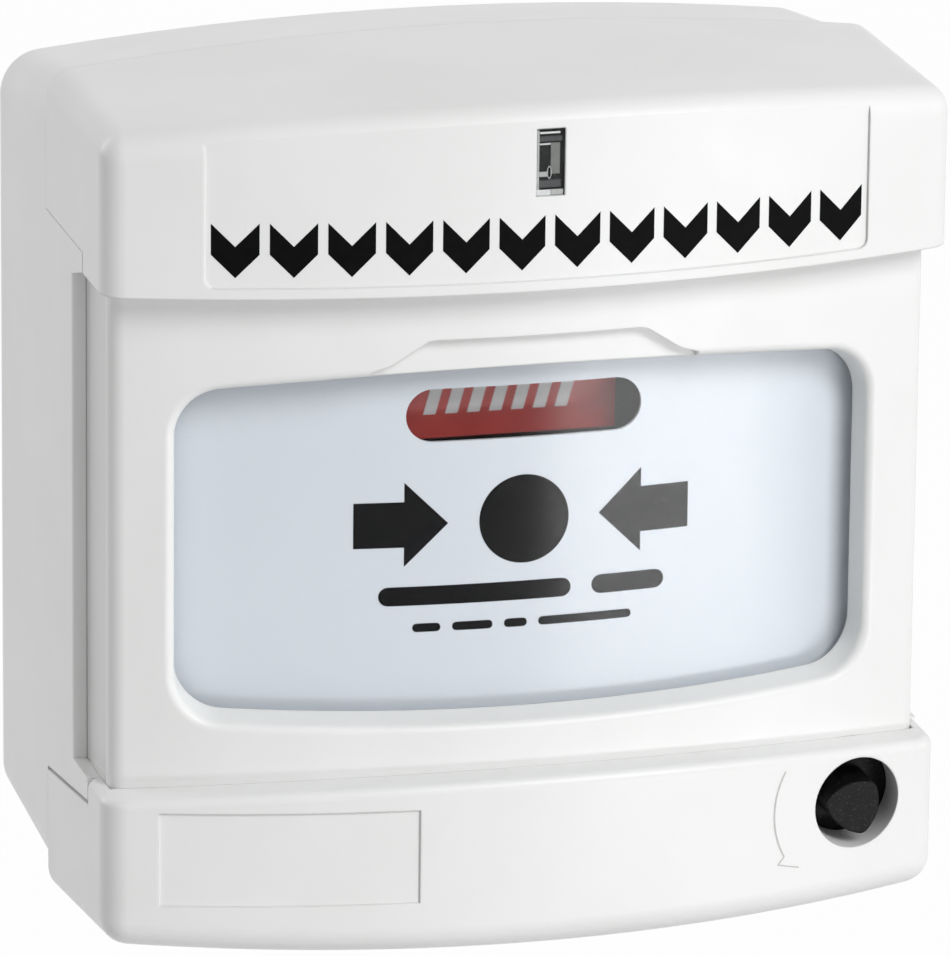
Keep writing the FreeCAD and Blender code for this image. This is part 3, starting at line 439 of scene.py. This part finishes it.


# Printed marks, and painted shade along a moulded line

class Face:
    """An upright bowed face: the depth of its crest and its radius."""

    def __init__(self, crest, radius):
        self.crest = crest
        self.radius = radius

    def fore(self, x):
        """Y of the face at a given X."""
        return self.crest + self.radius - math.sqrt(self.radius ** 2 - x ** 2)


def add_piece(name, mesh, body, material):
    """Puts a mesh in the scene as a piece of a body, with its finish."""
    piece = bpy.data.objects.new(name, mesh)
    bpy.context.scene.collection.objects.link(piece)
    mesh.materials.append(material)
    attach(piece, body)
    return piece


def add_form(name, form, body, material):
    """Turns a finished form into a piece."""
    mesh = bpy.data.meshes.new(name)
    form.to_mesh(mesh)
    form.free()
    add_piece(name, mesh, body, material)


def paint_on(name, face, outlines, body, material):
    """A thin coloured layer on a bowed face, for print and for painted shade, from flat outlines of X and Z
    in millimetres.
    """
    form = bmesh.new()
    for outline in outlines:
        form.faces.new([form.verts.new((x * MM, 0, z * MM)) for x, z in outline])
    left = min(corner.co.x for corner in form.verts)
    right = max(corner.co.x for corner in form.verts)
    for step in range(1, math.ceil((right - left) / FACET)):
        everything = form.verts[:] + form.edges[:] + form.faces[:]
        place = (left + step * FACET, 0, 0)
        bmesh.ops.bisect_plane(form, geom=everything, plane_co=place, plane_no=(1, 0, 0))
    bmesh.ops.remove_doubles(form, verts=form.verts, dist=WELD)
    for corner in form.verts:
        corner.co.y = face.fore(corner.co.x)
    bmesh.ops.recalc_face_normals(form, faces=form.faces)
    raised = bmesh.ops.extrude_face_region(form, geom=form.faces[:])
    for item in raised["geom"]:
        if isinstance(item, bmesh.types.BMVert):
            item.co.y -= LAYER_THICKNESS
    bmesh.ops.recalc_face_normals(form, faces=form.faces)
    add_form(name, form, body, material)


def disc(x, z, radius, sides=72):
    """A round mark."""
    turns = [2 * math.pi * side / sides for side in range(sides)]
    return [(x + radius * math.cos(turn), z + radius * math.sin(turn)) for turn in turns]


def bar(left, right, middle, half, sides=8):
    """A bar with round ends."""
    right_end = [-math.pi / 2 + math.pi * side / sides for side in range(sides + 1)]
    points = [(right - half + half * math.cos(turn), middle + half * math.sin(turn)) for turn in right_end]
    return points + [(left + right - x, middle * 2 - z) for x, z in points]


def chevron(x, foot, head, half, stroke):
    """A broad mark that points down."""
    return [(x, foot), (x + half, head - stroke), (x + half, head), (x, foot + stroke), (x - half, head),
            (x - half, head - stroke)]


def arrow(side):
    """A block arrow that points at the middle from one side."""
    tip, neck, tail, head_half, tail_half = 7.9, 12.4, 17.55, 4.45, 2.4
    points = [(tip, 0), (neck, head_half), (neck, tail_half), (tail, tail_half)]
    points += [(x, -z) for x, z in reversed(points[1:])]
    return [(side * x, z) for x, z in points]


def print_legend():
    """Two arrows that point at a dot, over a row of strong bars and a row of fine ones."""
    film = Face(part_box("legend_film")[0].y, PLATE_BOW - FILM_INSET)
    for name, side in (("left", -1), ("right", 1)):
        paint_on("arrow_" + name, film, [arrow(side)], "plate", DARK_INK)
    dot_radius = 4.68
    paint_on("press_dot", film, [disc(0, 0, dot_radius)], "plate", DARK_INK)
    strong_middle, strong_half = -7.6, 1.0
    fine_middle, fine_half = -11, 0.45
    strong = [bar(left, right, strong_middle, strong_half) for left, right in ((-15, 5), (7.2, 15))]
    fine = [bar(left, right, fine_middle, fine_half)
            for left, right in ((-11.5, -8.6), (-7.4, -3.2), (-2, 0.4), (1.6, 11.5))]
    paint_on("caption_bars", film, strong + fine, "plate", DARK_INK)


def print_heading():
    """A row of chevrons across the panel of the hood."""
    panel = Face(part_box("top_hood")[0].y + PANEL_RECESS, HOOD_BOW - PANEL_RECESS)
    count, pitch = 12, 5.7
    places = [(number - (count - 1) / 2) * pitch for number in range(count)]
    marks = [chevron(x, foot=28.6, head=34.2, half=2.35, stroke=3.2) for x in places]
    paint_on("heading_chevrons", panel, marks, "housing", DARK_INK)


def print_flag():
    """Slanted white marks along the top of the flag's visible part."""
    flat = Face(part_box("indicator_flag")[0].y, NEARLY_FLAT)
    count, first, pitch = 7, -9.2, 2.3
    foot, head, wide, lean = 9.9, 14.6, 1.3, 1.3
    marks = []
    for number in range(count):
        x = first + number * pitch
        marks.append([(x, foot), (x + wide, foot), (x + wide + lean, head), (x + lean, head)])
    paint_on("flag_marks", flat, marks, "flag", WHITE_INK_AND_HIGHLIGHT)


def stroke(path, half):
    """A line of even width along a path, as an outline."""
    points = [Vector(point) for point in path]
    sides = []
    for index, point in enumerate(points):
        along = points[min(index + 1, len(points) - 1)] - points[max(index - 1, 0)]
        sides.append((point, Vector((-along.y, along.x)).normalized() * half))
    return [point + side for point, side in sides] + [point - side for point, side in reversed(sides)]


def paint_turn_mark_shade():
    """A thin grey arc beside the keyhole, with a barbed end, that shows the key's turn: painted shade of a
    moulded line.
    """
    cap = Face(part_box("lower_cap")[0].y, HOOD_BOW)
    low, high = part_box("key_barrel")
    centre = (low + high) / 2 / MM
    radius, reach, steps = 9.5, math.radians(29), 16
    turns = [math.pi - reach + 2 * reach * step / steps for step in range(steps + 1)]
    path = [(centre.x + radius * math.cos(turn), centre.z + radius * math.sin(turn)) for turn in turns]
    barb_tip = (centre.x - 9, centre.z - 5.4)
    foot_tip = (centre.x - 6.6, centre.z - 6)
    arc = stroke(path, half=0.09)
    barb = stroke([path[-1], barb_tip], half=0.07)
    foot = stroke([barb_tip, foot_tip], half=0.06)
    # The grey colour of this line is painted shade of a moulded groove, not print.
    paint_on("turn_mark", cap, [arc, barb, foot], "housing", GREY_INK_AND_SHADE)


# Springs

def fit_spring(node, axis):
    """A steel copy of a coil, shown in place of its CAD node."""
    axis = Vector(axis)
    mesh = frame["nodes"][node].data.copy()
    mesh.materials.clear()
    coil = add_piece(node + "_coils", mesh, "housing", FINISHES["steel"])
    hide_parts(node)
    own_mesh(coil)


def fit_springs():
    """The plate's pair of springs and the flag's spring."""
    fit_spring("plate_springs", axis=(0, 1, 0))
    fit_spring("flag_spring", axis=(0, 0, 1))


# Lens of the indicator light

def lens_place(across, up, depth):
    """A point behind the clear face, from its share of the width and height, and a depth in millimetres."""
    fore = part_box("light_pipe")[0].y
    return Vector(((across * 2 - 1) * LENS_HALF * MM, fore + depth * MM, (LENS_FOOT + up * LENS_TALL) * MM))


def lens_panes(name, panes, depth, material):
    """Small plates with broken edges, each given by its left, right, foot and head as shares of the lens."""
    form = bmesh.new()
    thick, edge = 0.1, 0.02 * MM
    for left, right, foot, head in panes:
        low = lens_place(left, foot, depth)
        high = lens_place(right, head, depth + thick)
        place = Matrix.Translation((low + high) / 2) @ Matrix.Diagonal(high - low).to_4x4()
        bmesh.ops.create_cube(form, size=1, matrix=place)
    bmesh.ops.bevel(form, geom=form.edges[:], offset=edge, segments=2, profile=0.5, affect="EDGES")
    add_form(name, form, "housing", material)


def lens_ring(name, centre, half_wide, half_tall, material, sides=32, wire=8):
    """An oval ring of round wire, the edge of the lamp as the lens shows it."""
    form = bmesh.new()
    thick = 0.07 * MM
    loops = []
    for side in range(sides):
        turn = 2 * math.pi * side / sides
        spoke = Vector((half_wide * math.cos(turn), 0, half_tall * math.sin(turn))) * MM
        loop = []
        for step in range(wire):
            bend = 2 * math.pi * step / wire
            swell = spoke.normalized() * math.cos(bend) + Vector((0, math.sin(bend), 0))
            loop.append(form.verts.new(centre + spoke + thick * swell))
        loops.append(loop)
    for side in range(sides):
        here, after = loops[side], loops[(side + 1) % sides]
        for step in range(wire):
            turned = (step + 1) % wire
            form.faces.new((here[step], here[turned], after[turned], after[step]))
    bmesh.ops.recalc_face_normals(form, faces=form.faces)
    add_form(name, form, "housing", material)


def fit_lens():
    """What shows in the lens: a dark well with grey steps and a few white bars of painted highlight, in a
    thin frame.
    """
    well = [(0.03, 0.97, 0.02, 0.98)]
    dull = [(0.1, 0.95, 0.8, 0.88), (0.09, 0.92, 0.1, 0.22)]
    grey = [(0.52, 0.86, 0.31, 0.78)]
    frame_steps = [(0.01, 0.09, 0.02, 0.98), (0.1, 0.4, 0.275, 0.35), (0.54, 0.98, 0, 0.08)]
    bright = [(0.11, 0.85, 0.925, 0.955), (0.1, 0.5, 0.757, 0.782), (0.02, 0.52, 0, 0.08)]
    well_depth, dull_depth, grey_depth, frame_depth, bright_depth = 0.75, 0.6, 0.5, 0.35, 0.3
    lens_panes("lens_well", well, well_depth, FINISHES["black_plastic"])
    lens_panes("lens_steps_dull", dull, dull_depth, FINISHES["grey_plastic"])
    lens_panes("lens_steps_grey", grey, grey_depth, DIM_GREY)
    lens_panes("lens_frame", frame_steps, frame_depth, GREY_INK_AND_SHADE)
    # The white bars are painted highlights: the lens's reflections laid as white panes.
    lens_panes("lens_painted_highlights", bright, bright_depth, WHITE_INK_AND_HIGHLIGHT)
    ring_centre = lens_place(across=0.46, up=0.34, depth=bright_depth)
    lens_ring("lens_ring", ring_centre, half_wide=0.2, half_tall=0.6, material=GREY_INK_AND_SHADE)


def main():
    """Sets the studio, then dresses the object."""
    bpy.context.scene.view_settings.view_transform = "Standard"
    aim_camera()
    light_studio()
    dress_nodes()
    print_legend()
    print_heading()
    print_flag()
    paint_turn_mark_shade()
    fit_springs()
    fit_lens()


main()
